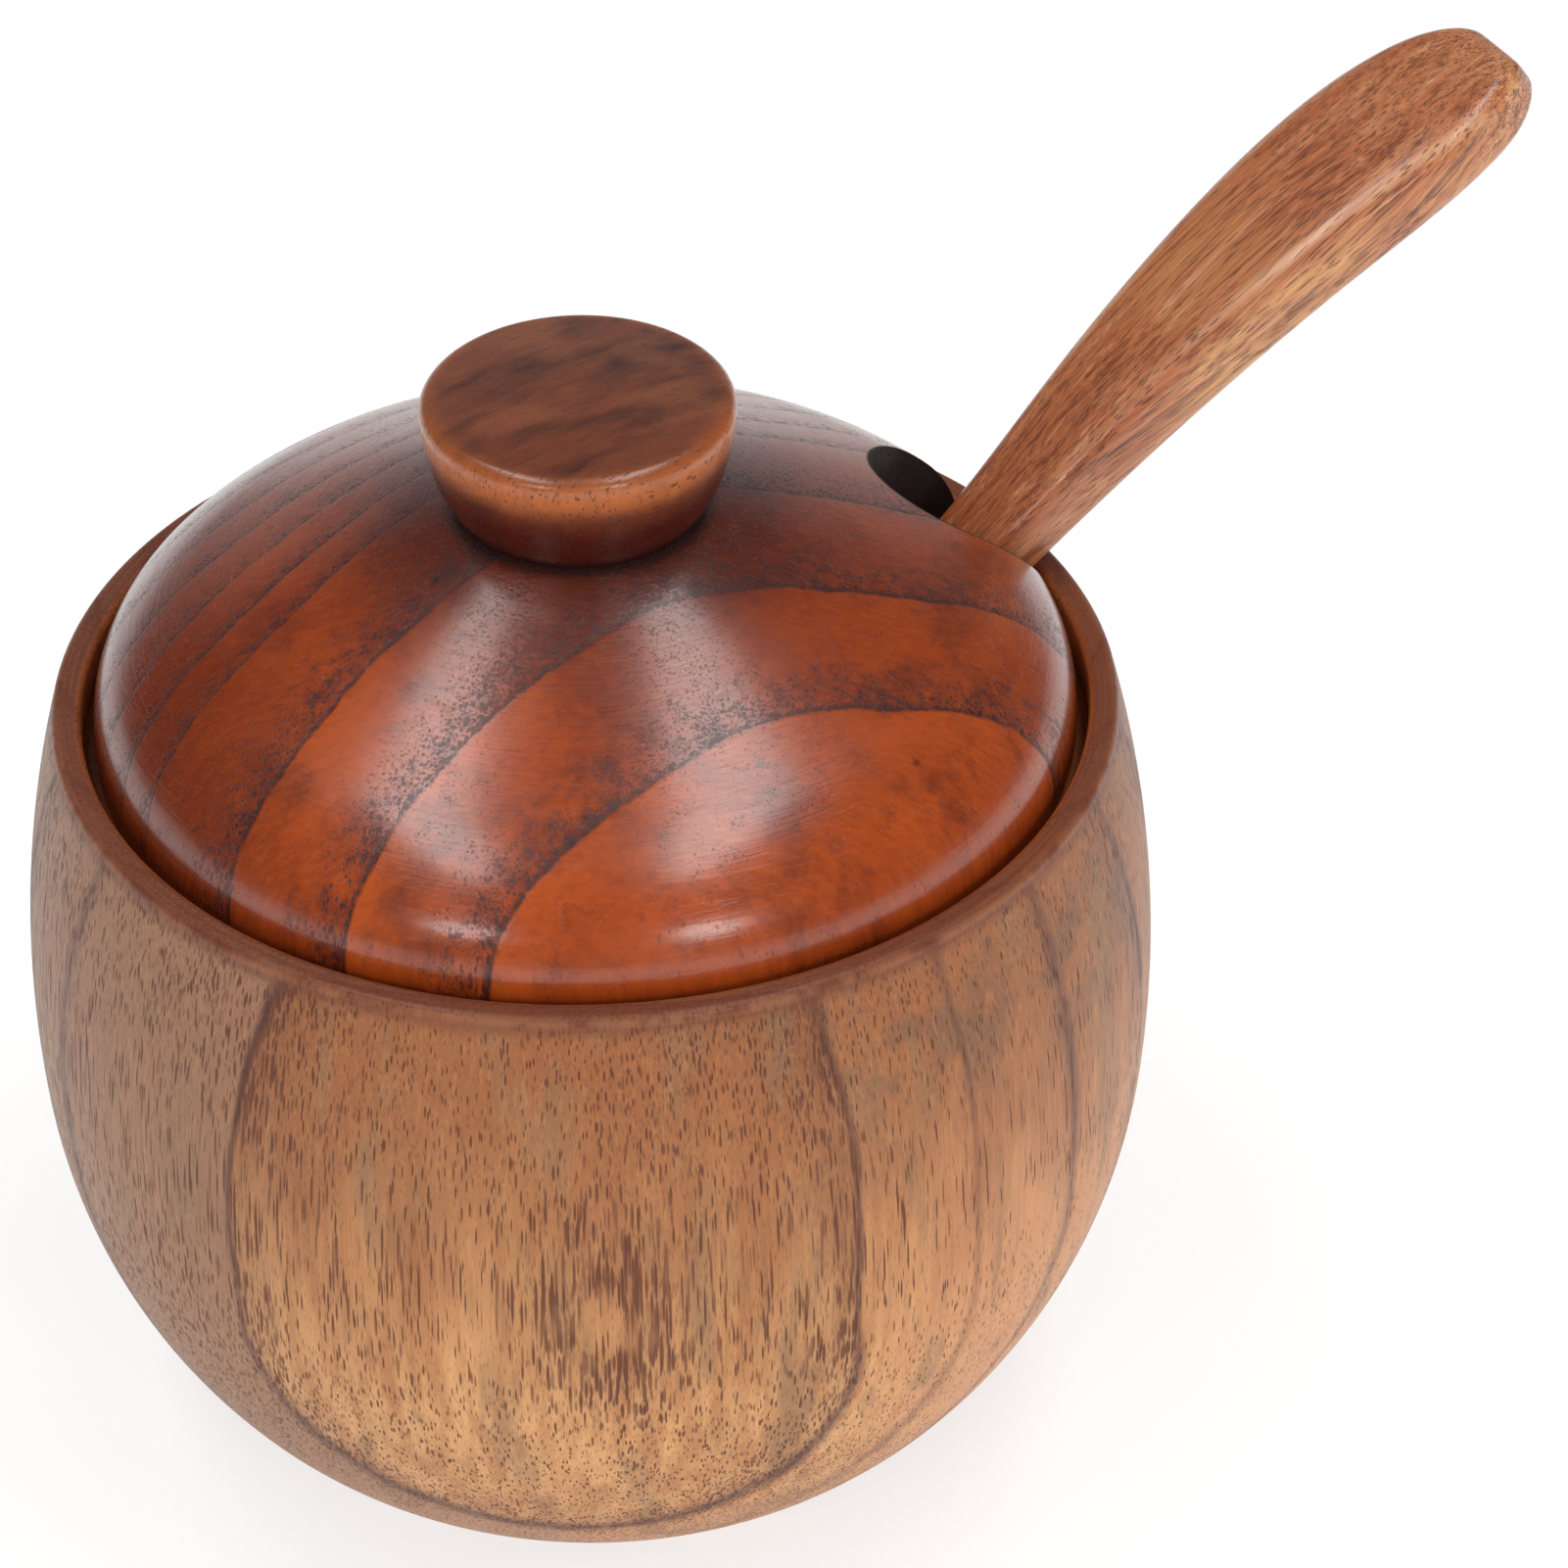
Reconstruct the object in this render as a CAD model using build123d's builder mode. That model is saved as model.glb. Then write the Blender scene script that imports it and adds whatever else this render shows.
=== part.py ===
from build123d import *

import math
import os

# Turned wooden seasoning jar with a drop-in domed lid, a knob and a carved spoon.
# Millimetres, +Z up. The origin is the centre of the flat foot that the jar stands on.
# The spoon lies in the XZ plane and leaves the lid's notch towards +X.

os.makedirs("parts", exist_ok=True)

# Jar body: outside
JAR_HEIGHT = 71.0
RIM_RADIUS = 45.0
BELLY_RADIUS = 48.5
BELLY_HEIGHT = 44.3
WALL_CURVE = 102.6
BELLY_CURVE = 50.6
FOOT_CURVE = 37.9
BELLY_TURN = -5.4
FOOT_TURN = -35.5
FOOT_ROUNDING = 1.2

# Jar body: inside, mouth and the ledge that carries the lid
WALL_THICKNESS = 5.2
FLOOR_HEIGHT = 6.0
MOUTH_RADIUS = 42.6
LEDGE_DEPTH = 4.5
LEDGE_RADIUS = 38.0
LEDGE_LIP = 1.8
LEDGE_BLEND_HEIGHT = 55.0
RIM_OUTER_ROUNDING = 0.6
RIM_INNER_ROUNDING = 0.7

# Lid: a shallow cone that rolls over a rounded shoulder into a drop-in edge
LID_RADIUS = 41.6
LID_EDGE_DROP = 1.0
EDGE_CURVE = 9.5
EDGE_SLOPE = 48.0
SHOULDER_CURVE = 20.0
SHOULDER_SLOPE = 26.0
CROWN_CURVE = 220.0
UNDER_EDGE_ROUNDING = 1.8
UNDER_RING_RADIUS = 36.5
UNDER_HOLLOW_RISE = 15.0

# Notch: a hole bored upright through the lid so that it breaks out of the edge
NOTCH_RADIUS = 8.75
NOTCH_CENTRE = 37.4

# Knob, turned on its own, with a tenon glued into the lid
KNOB_SEAT_RADIUS = 10.4
KNOB_FOOT_RADIUS = 10.2
KNOB_RADIUS = 13.1
KNOB_WIDEST_HEIGHT = 8.5
KNOB_CROWN = 0.6
KNOB_EDGE_CURVE = 1.5
TENON_RADIUS = 5.0
TENON_LENGTH = 6.0
TENON_CLEARANCE = 0.05
TENON_HOLE_SPARE = 0.3

# Spoon: placed by the point where its centre line leaves the lid
SPOON_SLOPE = 34.9
SPOON_EXIT_RADIUS = 40.6
SPOON_EXIT_RISE = 2.2
HANDLE_END = 61.0
PAST_END = 63.0
HANDLE_HALF_WIDTH = 8.6
NECK_END = -45.0
NECK_START = -67.0
NECK_HALF_WIDTH = 3.3
BOWL_CENTRE = -77.5
BOWL_LENGTH = 34.0
BOWL_WIDTH = 27.0
BOWL_DEPTH = 9.5
BOWL_RIM_HEIGHT = 1.4
BOWL_WALL = 2.0
ARRIS_ROUNDING = 1.7


def on_arc(centre, radius, degrees):
    """Point on a circle in the profile plane, as (radius from the axis, height)."""
    angle = math.radians(degrees)
    return (centre[0] + radius * math.cos(angle), centre[1] + radius * math.sin(angle))


def next_centre(centre, radius, new_radius, degrees):
    """Centre of the arc that carries on tangentially from another at an angle."""
    return on_arc(centre, radius - new_radius, degrees)


def degrees_at_height(centre, radius, height):
    """Angle at which a circle in the profile plane reaches a height."""
    return math.degrees(math.asin((height - centre[1]) / radius))


def dome_middle(radius, base_height, rise):
    """Point halfway out on a shallow dome, given its outer radius, base height and rise."""
    curve = (radius**2 + rise**2) / (2 * rise)
    half = radius / 2
    return (half, base_height + rise - curve + math.sqrt(curve**2 - half**2))


def arc_through(centre, radius, start, end):
    """Three points of the arc between two angles, for ThreePointArc."""
    angles = (start, (start + end) / 2, end)
    return [on_arc(centre, radius, angle) for angle in angles]


# The jar's wall is three arcs that run into one another: wall, belly and foot
wall_centre = (BELLY_RADIUS - WALL_CURVE, BELLY_HEIGHT)
belly_centre = next_centre(wall_centre, WALL_CURVE, BELLY_CURVE, BELLY_TURN)
foot_centre = next_centre(belly_centre, BELLY_CURVE, FOOT_CURVE, FOOT_TURN)

rim_angle = degrees_at_height(wall_centre, WALL_CURVE, JAR_HEIGHT)
base_angle = degrees_at_height(foot_centre, FOOT_CURVE, 0.0)
outer_wall = arc_through(wall_centre, WALL_CURVE, rim_angle, BELLY_TURN)
outer_belly = arc_through(belly_centre, BELLY_CURVE, BELLY_TURN, FOOT_TURN)
outer_foot = arc_through(foot_centre, FOOT_CURVE, FOOT_TURN, base_angle)
outer_wall[0] = (RIM_RADIUS, JAR_HEIGHT)

inner_wall_curve = WALL_CURVE - WALL_THICKNESS
inner_belly_curve = BELLY_CURVE - WALL_THICKNESS
inner_foot_curve = FOOT_CURVE - WALL_THICKNESS
blend_angle = degrees_at_height(wall_centre, inner_wall_curve, LEDGE_BLEND_HEIGHT)
floor_angle = degrees_at_height(foot_centre, inner_foot_curve, FLOOR_HEIGHT)
inner_foot = arc_through(foot_centre, inner_foot_curve, floor_angle, FOOT_TURN)
inner_belly = arc_through(belly_centre, inner_belly_curve, FOOT_TURN, BELLY_TURN)
inner_wall = arc_through(wall_centre, inner_wall_curve, BELLY_TURN, blend_angle)
ledge_height = JAR_HEIGHT - LEDGE_DEPTH
lip_height = ledge_height - LEDGE_LIP

# Jar body
with BuildPart() as jar_body:
    with BuildSketch(Plane.XZ):
        with BuildLine():
            Polyline((0, FLOOR_HEIGHT), (0, 0), outer_foot[2])
            ThreePointArc(*outer_foot)
            ThreePointArc(*outer_belly)
            ThreePointArc(*outer_wall)
            Polyline(
                outer_wall[0],
                (MOUTH_RADIUS, JAR_HEIGHT),
                (MOUTH_RADIUS, ledge_height),
                (LEDGE_RADIUS, ledge_height),
                (LEDGE_RADIUS, lip_height),
                inner_wall[2],
            )
            ThreePointArc(*inner_wall)
            ThreePointArc(*inner_belly)
            ThreePointArc(*inner_foot)
            Line(inner_foot[0], (0, FLOOR_HEIGHT))
        make_face()
    revolve(axis=Axis.Z)
    rim_edges = jar_body.edges().filter_by_position(Axis.Z, JAR_HEIGHT - 0.01, JAR_HEIGHT + 0.01)
    rim_circles = rim_edges.filter_by(GeomType.CIRCLE).sort_by(SortBy.RADIUS)
    fillet(rim_circles[-1], radius=RIM_OUTER_ROUNDING)
    mouth_edges = jar_body.edges().filter_by_position(Axis.Z, JAR_HEIGHT - 0.01, JAR_HEIGHT + 0.01)
    mouth_circles = mouth_edges.filter_by(GeomType.CIRCLE).sort_by(SortBy.RADIUS)
    fillet(mouth_circles[0], radius=RIM_INNER_ROUNDING)
    foot_edges = jar_body.edges().filter_by_position(Axis.Z, -0.01, 0.01)
    foot_circles = foot_edges.filter_by(GeomType.CIRCLE).sort_by(SortBy.RADIUS)
    fillet(foot_circles[-1], radius=FOOT_ROUNDING)

jar_body.part.label = "jar_body"
export_step(jar_body.part, "parts/jar_body.step")

# The lid's upper side is three arcs too, from the edge up to the knob's seat
edge_height = JAR_HEIGHT - LID_EDGE_DROP
edge_centre = (LID_RADIUS - EDGE_CURVE, edge_height)
edge_turn = 90.0 - EDGE_SLOPE
shoulder_turn = 90.0 - SHOULDER_SLOPE
shoulder_centre = next_centre(edge_centre, EDGE_CURVE, SHOULDER_CURVE, edge_turn)
crown_centre = next_centre(shoulder_centre, SHOULDER_CURVE, CROWN_CURVE, shoulder_turn)
seat_turn = math.degrees(math.acos((KNOB_SEAT_RADIUS - crown_centre[0]) / CROWN_CURVE))
lid_edge = arc_through(edge_centre, EDGE_CURVE, 0.0, edge_turn)
lid_shoulder = arc_through(shoulder_centre, SHOULDER_CURVE, edge_turn, shoulder_turn)
lid_crown = arc_through(crown_centre, CROWN_CURVE, shoulder_turn, seat_turn)
seat_height = lid_crown[2][1]
under_centre = (LID_RADIUS - UNDER_EDGE_ROUNDING, ledge_height + UNDER_EDGE_ROUNDING)
under_edge = arc_through(under_centre, UNDER_EDGE_ROUNDING, 0.0, -90.0)
hollow_top = ledge_height + UNDER_HOLLOW_RISE
hollow_middle = dome_middle(UNDER_RING_RADIUS, ledge_height, UNDER_HOLLOW_RISE)

# Lid
with BuildPart() as lid:
    with BuildSketch(Plane.XZ):
        with BuildLine():
            ThreePointArc((0, hollow_top), hollow_middle, (UNDER_RING_RADIUS, ledge_height))
            Line((UNDER_RING_RADIUS, ledge_height), under_edge[2])
            ThreePointArc(*under_edge)
            Line(under_edge[0], lid_edge[0])
            ThreePointArc(*lid_edge)
            ThreePointArc(*lid_shoulder)
            ThreePointArc(*lid_crown)
            Polyline(lid_crown[2], (0, seat_height), (0, hollow_top))
        make_face()
    revolve(axis=Axis.Z)
    with BuildSketch(Plane.XY.offset(seat_height)):
        Circle(TENON_RADIUS + TENON_CLEARANCE)
    extrude(amount=-(TENON_LENGTH + TENON_HOLE_SPARE), mode=Mode.SUBTRACT)
    with BuildSketch(Plane.XY.offset(ledge_height - 1.0)):
        with Locations((NOTCH_CENTRE, 0)):
            Circle(NOTCH_RADIUS)
    extrude(amount=2 * UNDER_HOLLOW_RISE, mode=Mode.SUBTRACT)

lid.part.label = "lid"
export_step(lid.part, "parts/lid.step")

# Knob: an inverted bell with a crowned top, and the tenon below it
knob_widest = seat_height + KNOB_WIDEST_HEIGHT
knob_shoulder = knob_widest + KNOB_EDGE_CURVE
knob_top = knob_shoulder + KNOB_CROWN
bell_middle = (
    KNOB_FOOT_RADIUS + 0.68 * (KNOB_RADIUS - KNOB_FOOT_RADIUS),
    seat_height + 0.42 * KNOB_WIDEST_HEIGHT,
)
edge_middle = (
    KNOB_RADIUS - KNOB_EDGE_CURVE * (1 - math.sqrt(0.5)),
    knob_widest + KNOB_EDGE_CURVE * math.sqrt(0.5),
)

with BuildPart() as lid_knob:
    with BuildSketch(Plane.XZ):
        with BuildLine():
            Polyline(
                (0, seat_height - TENON_LENGTH),
                (TENON_RADIUS, seat_height - TENON_LENGTH),
                (TENON_RADIUS, seat_height),
                (KNOB_FOOT_RADIUS, seat_height),
            )
            ThreePointArc((KNOB_FOOT_RADIUS, seat_height), bell_middle, (KNOB_RADIUS, knob_widest))
            ThreePointArc(
                (KNOB_RADIUS, knob_widest),
                edge_middle,
                (KNOB_RADIUS - KNOB_EDGE_CURVE, knob_shoulder),
            )
            ThreePointArc(
                (KNOB_RADIUS - KNOB_EDGE_CURVE, knob_shoulder),
                dome_middle(KNOB_RADIUS - KNOB_EDGE_CURVE, knob_shoulder, KNOB_CROWN),
                (0, knob_top),
            )
            Line((0, knob_top), (0, seat_height - TENON_LENGTH))
        make_face()
    revolve(axis=Axis.Z)

lid_knob.part.label = "lid_knob"
export_step(lid_knob.part, "parts/lid_knob.step")

# The spoon's own plane: x runs out along the handle, z is square to its broad face
slope = math.radians(SPOON_SLOPE)
spoon_plane = Plane(
    origin=(SPOON_EXIT_RADIUS, 0, JAR_HEIGHT + SPOON_EXIT_RISE),
    x_dir=(math.cos(slope), 0, math.sin(slope)),
    z_dir=(-math.sin(slope), 0, math.cos(slope)),
)
side_plane = Plane(origin=spoon_plane.origin, x_dir=spoon_plane.x_dir, z_dir=-spoon_plane.y_dir)


def bowl_form(length, width, depth):
    """Egg-shaped form below the bowl's rim: an arc turned about a line above the rim."""
    axis_height = (width**2 / 4 - depth**2) / (2 * depth)
    half = length / 2
    with BuildPart(mode=Mode.PRIVATE) as form:
        with BuildSketch(Plane.XZ):
            with BuildLine():
                ThreePointArc((-half, 0), (0, -depth), (half, 0))
                Polyline((half, 0), (half, axis_height), (-half, axis_height), (-half, 0))
            make_face()
        revolve(axis=Axis((0, 0, axis_height), (1, 0, 0)))
    return spoon_plane * Pos(BOWL_CENTRE, 0, BOWL_RIM_HEIGHT) * form.part


bowl_solid = bowl_form(BOWL_LENGTH, BOWL_WIDTH, BOWL_DEPTH)
bowl_hollow = bowl_form(
    BOWL_LENGTH - 2 * BOWL_WALL,
    BOWL_WIDTH - 2 * BOWL_WALL,
    BOWL_DEPTH - BOWL_WALL,
)
above_rim = spoon_plane * Pos(BOWL_CENTRE, 0, BOWL_RIM_HEIGHT + BOWL_WIDTH) * Box(
    2 * BOWL_LENGTH, 2 * BOWL_WIDTH, 2 * BOWL_WIDTH
)
bowl_shell = bowl_solid - above_rim

# Spoon
with BuildPart() as spoon:
    # Handle from above: narrow at the neck, swelling to a broad rounded end
    with BuildSketch(spoon_plane):
        with BuildLine():
            handle_side = Spline(
                (NECK_START, NECK_HALF_WIDTH),
                (NECK_END, NECK_HALF_WIDTH),
                (4.0, 3.9),
                (29.0, 6.6),
                (47.0, HANDLE_HALF_WIDTH),
                (HANDLE_END, 0.0),
                tangents=[(1, 0), (0, -1)],
            )
            Line((NECK_START, NECK_HALF_WIDTH), (NECK_START, -NECK_HALF_WIDTH))
            mirror(handle_side, about=Plane.XZ)
        make_face()
    extrude(amount=BOWL_DEPTH, both=True)
    # Handle from the side: thin at the neck, fullest at the grip
    with BuildSketch(side_plane):
        with BuildLine():
            top_line = Spline(
                (NECK_START, BOWL_RIM_HEIGHT),
                (NECK_END, 2.3),
                (5.0, 2.6),
                (32.0, 3.3),
                (50.0, 3.1),
                (PAST_END, 2.2),
            )
            under_line = Spline(
                (NECK_START, -5.2),
                (NECK_END, -2.6),
                (5.0, -2.6),
                (32.0, -3.3),
                (50.0, -3.1),
                (PAST_END, -2.2),
            )
            Line(top_line @ 0, under_line @ 0)
            Line(top_line @ 1, under_line @ 1)
        make_face()
    extrude(amount=BOWL_WIDTH, both=True, mode=Mode.INTERSECT)
    arrises = spoon.edges().filter_by(lambda edge: edge.length > HANDLE_END)
    fillet(arrises, radius=ARRIS_ROUNDING)
    add(bowl_shell)
    add(bowl_hollow, mode=Mode.SUBTRACT)

spoon.part.label = "spoon"
export_step(spoon.part, "parts/spoon.step")
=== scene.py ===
"""Turned wooden seasoning jar with a domed lid, a knob and a carved spoon, in a pale studio."""

import logging
import math
from dataclasses import dataclass, field
from enum import Enum

import bpy
from mathutils import Matrix, Vector


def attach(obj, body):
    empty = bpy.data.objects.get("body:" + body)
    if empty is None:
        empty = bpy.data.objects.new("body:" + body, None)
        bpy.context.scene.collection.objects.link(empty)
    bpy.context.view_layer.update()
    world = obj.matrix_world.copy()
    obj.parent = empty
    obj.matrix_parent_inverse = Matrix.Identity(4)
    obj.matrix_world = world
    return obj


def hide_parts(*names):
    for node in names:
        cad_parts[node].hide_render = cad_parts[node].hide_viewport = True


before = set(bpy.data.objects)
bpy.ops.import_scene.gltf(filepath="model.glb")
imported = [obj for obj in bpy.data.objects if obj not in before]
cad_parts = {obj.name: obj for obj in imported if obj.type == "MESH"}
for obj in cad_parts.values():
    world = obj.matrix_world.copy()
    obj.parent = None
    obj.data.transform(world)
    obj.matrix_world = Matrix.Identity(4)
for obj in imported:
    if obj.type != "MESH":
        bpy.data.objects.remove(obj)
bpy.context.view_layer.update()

MM = 0.001
VIEW_TURN = math.radians(26.2)
SPOON_SLOPE = math.radians(34.9)
WELD = 0.000002
LOG = logging.getLogger("seasoning_jar")

Colour = tuple[float, float, float]
Point = tuple[float, float]
Span = tuple[float, float]
Triple = tuple[float, float, float]
Number = "Value | float"
WHITE = (1.0, 1.0, 1.0, 1.0)


class Maths(Enum):
    """Operations of a Math node that the finishes use."""

    ADD = "ADD"
    SUBTRACT = "SUBTRACT"
    MULTIPLY = "MULTIPLY"
    DIVIDE = "DIVIDE"
    POWER = "POWER"
    MAXIMUM = "MAXIMUM"
    MINIMUM = "MINIMUM"
    FRACTION = "FRACT"
    ABSOLUTE = "ABSOLUTE"
    ROOT = "SQRT"


class Value:
    """A shader number that combines with others in plain expressions."""

    def __init__(self, shader: "Shader", socket: bpy.types.NodeSocket) -> None:
        """Wraps a node's output.

        Args:
            shader: The node tree's builder.
            socket: The output that carries the number.
        """
        self.shader = shader
        self.socket = socket

    def __add__(self, other: Number) -> "Value":
        """This plus the other."""
        return self.shader.maths(Maths.ADD, self, other)

    def __radd__(self, other: float) -> "Value":
        """The other plus this."""
        return self.shader.maths(Maths.ADD, other, self)

    def __sub__(self, other: Number) -> "Value":
        """This less the other."""
        return self.shader.maths(Maths.SUBTRACT, self, other)

    def __rsub__(self, other: float) -> "Value":
        """The other less this."""
        return self.shader.maths(Maths.SUBTRACT, other, self)

    def __mul__(self, other: Number) -> "Value":
        """This times the other."""
        return self.shader.maths(Maths.MULTIPLY, self, other)

    def __truediv__(self, other: Number) -> "Value":
        """This over the other."""
        return self.shader.maths(Maths.DIVIDE, self, other)

    def __pow__(self, other: float) -> "Value":
        """This to a power."""
        return self.shader.maths(Maths.POWER, self, other)

    def high(self, other: Number) -> "Value":
        """The larger of this and the other."""
        return self.shader.maths(Maths.MAXIMUM, self, other)

    def low(self, other: Number) -> "Value":
        """The smaller of this and the other."""
        return self.shader.maths(Maths.MINIMUM, self, other)

    def fraction(self) -> "Value":
        """What is left after the whole number."""
        return self.shader.maths(Maths.FRACTION, self)

    def size(self) -> "Value":
        """The value without its sign."""
        return self.shader.maths(Maths.ABSOLUTE, self)

    def root(self) -> "Value":
        """The square root."""
        return self.shader.maths(Maths.ROOT, self)

    def step(self, start: float, end: float) -> "Value":
        """Smooth step from 0 at start to 1 at end.

        Args:
            start: Value at which the step begins; it may lie above end.
            end: Value at which it ends.

        Returns:
            A mask between 0 and 1.
        """
        flip = start > end
        node = self.shader.node(
            "ShaderNodeMapRange",
            {"interpolation_type": "SMOOTHSTEP"},
            {
                "Value": self,
                "From Min": min(start, end),
                "From Max": max(start, end),
                "To Min": 1.0 if flip else 0.0,
                "To Max": 0.0 if flip else 1.0,
            },
        )
        return Value(self.shader, node.outputs["Result"])

    def bell(self, centre: float, width: float) -> "Value":
        """Soft peak of height 1 at a value, gone at the given distance from it."""
        return (self - centre).size().step(width, 0.0)


@dataclass(frozen=True)
class Grain:
    """How noise or scattered cells lie in the wood: cells per millimetre, shift and octaves."""

    scale: Triple
    detail: float = 2.0
    roughness: float = 0.5
    shift: Triple = (0.0, 0.0, 0.0)


@dataclass(frozen=True)
class Lacquer:
    """Relief of the wood in metres, and the roughness and shine of what lies on it."""

    depth: float
    roughness: float
    shine: float


class Shader:
    """Node tree of one material or world, written as expressions."""

    def __init__(self, owner: bpy.types.Material | bpy.types.World) -> None:
        """Empties the owner's node tree.

        Args:
            owner: The material or world that is built.
        """
        self.owner = owner
        self.owner.use_nodes = True
        self.tree = self.owner.node_tree
        self.tree.nodes.clear()

    def node(
        self, kind: str, settings: dict | None = None, inputs: dict | None = None
    ) -> bpy.types.Node:
        """Adds a node.

        Args:
            kind: The node's type name.
            settings: Properties set before the sockets.
            inputs: Values, colours or links by socket name or number.

        Returns:
            The new node.
        """
        node = self.tree.nodes.new(kind)
        for key, value in (settings or {}).items():
            setattr(node, key, value)
        for key, value in (inputs or {}).items():
            socket = node.inputs[key]
            if isinstance(value, Value):
                self.tree.links.new(value.socket, socket)
            elif isinstance(value, bpy.types.NodeSocket):
                self.tree.links.new(value, socket)
            else:
                socket.default_value = value
        return node

    def maths(self, operation: Maths, first: Number, second: "Value | float | None" = None) -> Value:
        """Adds a Math node.

        Args:
            operation: What it works out.
            first: First value.
            second: Second value, where it takes one.

        Returns:
            The result.
        """
        inputs = {0: first} if second is None else {0: first, 1: second}
        node = self.node("ShaderNodeMath", {"operation": operation.value}, inputs)
        return Value(self, node.outputs[0])

    def place(self, turn: Triple, scale: float = 1.0 / MM, source: str = "Object") -> tuple:
        """Coordinates turned and scaled.

        Args:
            turn: Turn about X, Y and Z, in radians.
            scale: Factor; as given, metres come out as millimetres.
            source: Which coordinates are read.

        Returns:
            The three parts.
        """
        start = self.node("ShaderNodeTexCoord").outputs[source]
        mapping = self.node(
            "ShaderNodeMapping",
            {"vector_type": "POINT"},
            {"Vector": start, "Rotation": turn, "Scale": (scale,) * 3},
        )
        parts = self.node("ShaderNodeSeparateXYZ", {}, {0: mapping.outputs["Vector"]})
        return tuple(Value(self, output) for output in parts.outputs)

    def stretched(self, grain: Grain, spot: tuple) -> bpy.types.NodeSocket:
        """The vector at which a grain is read at a place.

        Args:
            grain: The grain's scale and shift.
            spot: Three values in millimetres.

        Returns:
            A vector output.
        """
        parts = []
        for value, scale, shift in zip(spot, grain.scale, grain.shift):
            part = value * scale
            parts.append(part + shift if shift else part)
        return self.node("ShaderNodeCombineXYZ", {}, dict(enumerate(parts))).outputs[0]

    def noise(self, grain: Grain, spot: tuple) -> Value:
        """Soft noise about 0.5.

        Args:
            grain: Its stretch and octaves.
            spot: Three values in millimetres.

        Returns:
            The noise.
        """
        inputs = {
            "Vector": self.stretched(grain, spot),
            "Scale": 1.0,
            "Detail": grain.detail,
            "Roughness": grain.roughness,
        }
        return Value(self, self.node("ShaderNodeTexNoise", {}, inputs).outputs[0])

    def cells(self, grain: Grain, spot: tuple) -> Value:
        """Distance to the nearest point of a scattered lot.

        Args:
            grain: The stretch of the scatter.
            spot: Three values in millimetres.

        Returns:
            The distance, in cells.
        """
        inputs = {"Vector": self.stretched(grain, spot), "Scale": 1.0}
        return Value(self, self.node("ShaderNodeTexVoronoi", {}, inputs).outputs["Distance"])

    def blend(self, base: "Colour | bpy.types.NodeSocket", *coats: tuple) -> bpy.types.NodeSocket:
        """Lays colours over a base.

        Args:
            base: The lowest colour.
            coats: A mask and a colour for each coat, from the lowest up.

        Returns:
            A colour output.
        """
        for mask, colour in coats:
            node = self.node("ShaderNodeMix", {"data_type": "RGBA"}, {0: mask})
            for number, value in ((6, base), (7, colour)):
                if isinstance(value, bpy.types.NodeSocket):
                    self.tree.links.new(value, node.inputs[number])
                else:
                    node.inputs[number].default_value = (*value, 1.0)
            base = node.outputs[2]
        return base

    def wood(
        self,
        colour: bpy.types.NodeSocket,
        roughness: Value,
        height: Value,
        coat: Number,
        lacquer: Lacquer,
    ) -> bpy.types.Material:
        """Finishes the tree as lacquered wood.

        Args:
            colour: Base colour.
            roughness: Roughness of the wood.
            height: Relief, 0 to 1.
            coat: Weight of the lacquer.
            lacquer: Depth of the relief, and the lacquer's roughness and shine.

        Returns:
            The material.
        """
        bump = self.node(
            "ShaderNodeBump", {}, {"Strength": 1.0, "Distance": lacquer.depth, "Height": height}
        )
        surface = self.node(
            "ShaderNodeBsdfPrincipled",
            {},
            {
                "Base Color": colour,
                "Roughness": roughness,
                "Normal": bump.outputs[0],
                "IOR": 1.5,
                "Specular IOR Level": lacquer.shine,
                "Coat Weight": coat,
                "Coat Roughness": lacquer.roughness,
                "Coat IOR": 1.5,
            },
        )
        self.node("ShaderNodeOutputMaterial", {}, {"Surface": surface.outputs[0]})
        return self.owner


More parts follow.
